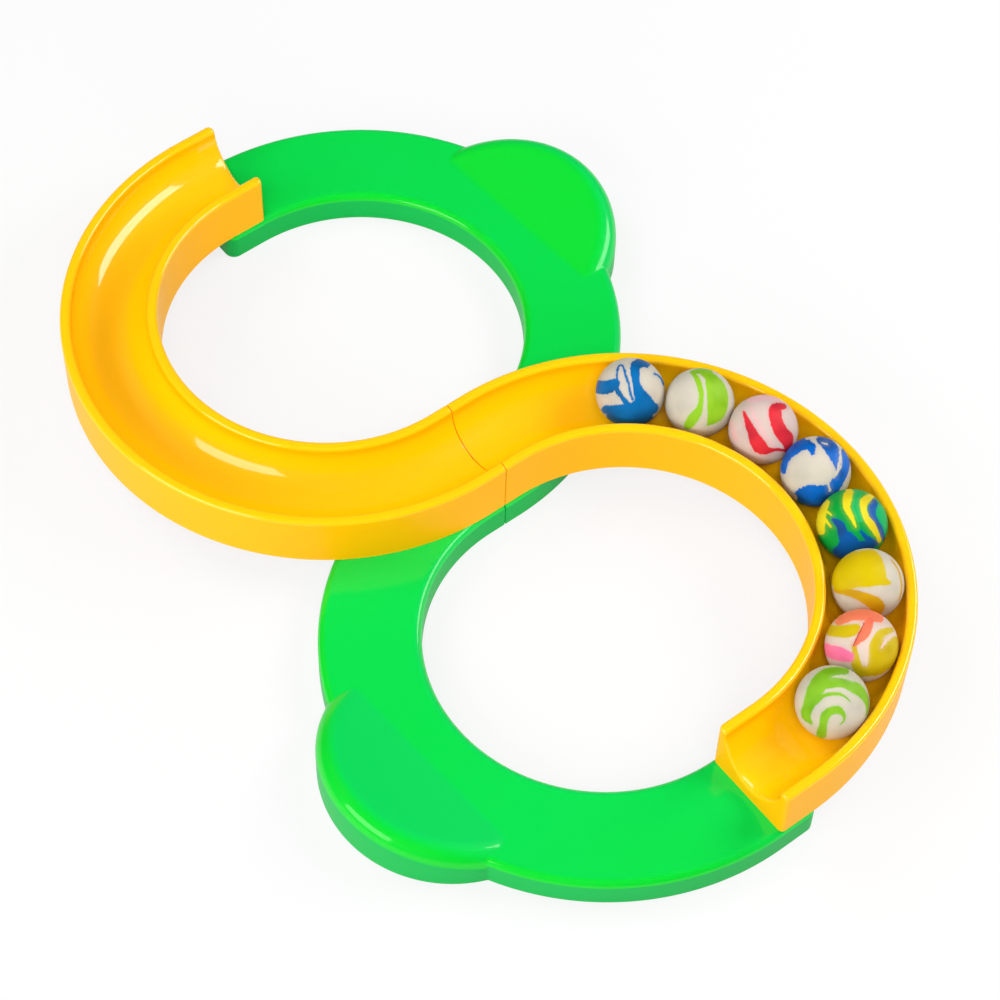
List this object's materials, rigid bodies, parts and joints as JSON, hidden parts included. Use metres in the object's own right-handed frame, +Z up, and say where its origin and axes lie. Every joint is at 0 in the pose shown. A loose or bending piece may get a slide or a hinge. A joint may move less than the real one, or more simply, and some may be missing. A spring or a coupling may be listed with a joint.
{
  "type": "ball track toy",
  "caption": "Hand-held figure-of-eight ball track: yellow half-round troughs on green half-ring handles with hand lobes, with marbled rubber balls rolling in the trough.",
  "frame": {"origin": "middle of the crossing, on the floor under the handles", "axes": "+X along the two rings, +Y across them, +Z up out of the trough"},
  "size_m": [0.4452, 0.3028, 0.056],
  "materials": {
    "track_yellow": "injection-moulded plastic, semi-gloss warm yellow",
    "handle_green": "injection-moulded plastic, glossy bright green",
    "screw_steel": "zinc-plated steel",
    "ball_blue": "solid bouncing rubber with marbled swirls, satin",
    "ball_lime": "solid bouncing rubber with marbled swirls, satin",
    "ball_red": "solid bouncing rubber with marbled swirls, satin",
    "ball_green": "solid bouncing rubber with marbled swirls, satin",
    "ball_mustard": "solid bouncing rubber with marbled swirls, satin",
    "ball_pink": "solid bouncing rubber with marbled swirls, satin"
  },
  "bodies": {
    "toy": {"track_left": "track_yellow", "track_right": "track_yellow", "handle_left": "handle_green", "handle_right": "handle_green", "screw_right_end_1": "screw_steel", "screw_right_end_2": "screw_steel", "screw_left_end_1": "screw_steel", "screw_left_end_2": "screw_steel", "screw_right_middle_1": "screw_steel", "screw_right_middle_2": "screw_steel", "screw_left_middle_1": "screw_steel", "screw_left_middle_2": "screw_steel"},
    "ball_1": {"ball_1": "ball_blue"},
    "ball_2": {"ball_2": "ball_lime"},
    "ball_3": {"ball_3": "ball_red"},
    "ball_4": {"ball_4": "ball_blue"},
    "ball_5": {"ball_5": "ball_green"},
    "ball_6": {"ball_6": "ball_mustard"},
    "ball_7": {"ball_7": "ball_pink"},
    "ball_8": {"ball_8": "ball_lime"}
  },
  "joints": [
    {"name": "ball_1_roll", "type": "hinge", "parent": "toy", "child": "ball_1", "pos_m": [0.1, 0.0083, 0.04], "axis": [0, 0, 1], "range_deg": [-20, 43]},
    {"name": "ball_2_roll", "type": "hinge", "parent": "toy", "child": "ball_2", "pos_m": [0.1, 0.0083, 0.04], "axis": [0, 0, 1], "range_deg": [-20, 43]},
    {"name": "ball_3_roll", "type": "hinge", "parent": "toy", "child": "ball_3", "pos_m": [0.1, 0.0083, 0.04], "axis": [0, 0, 1], "range_deg": [-20, 43]},
    {"name": "ball_4_roll", "type": "hinge", "parent": "toy", "child": "ball_4", "pos_m": [0.1, 0.0083, 0.04], "axis": [0, 0, 1], "range_deg": [-20, 43]},
    {"name": "ball_5_roll", "type": "hinge", "parent": "toy", "child": "ball_5", "pos_m": [0.1, 0.0083, 0.04], "axis": [0, 0, 1], "range_deg": [-20, 43]},
    {"name": "ball_6_roll", "type": "hinge", "parent": "toy", "child": "ball_6", "pos_m": [0.1, 0.0083, 0.04], "axis": [0, 0, 1], "range_deg": [-20, 43]},
    {"name": "ball_7_roll", "type": "hinge", "parent": "toy", "child": "ball_7", "pos_m": [0.1, 0.0083, 0.04], "axis": [0, 0, 1], "range_deg": [-20, 43]},
    {"name": "ball_8_roll", "type": "hinge", "parent": "toy", "child": "ball_8", "pos_m": [0.1, 0.0083, 0.04], "axis": [0, 0, 1], "range_deg": [-20, 43]}
  ],
  "couplings": [
    {"joint": "ball_2_roll", "follows": "ball_1_roll", "ratio": 1},
    {"joint": "ball_3_roll", "follows": "ball_1_roll", "ratio": 1},
    {"joint": "ball_4_roll", "follows": "ball_1_roll", "ratio": 1},
    {"joint": "ball_5_roll", "follows": "ball_1_roll", "ratio": 1},
    {"joint": "ball_6_roll", "follows": "ball_1_roll", "ratio": 1},
    {"joint": "ball_7_roll", "follows": "ball_1_roll", "ratio": 1},
    {"joint": "ball_8_roll", "follows": "ball_1_roll", "ratio": 1}
  ]
}
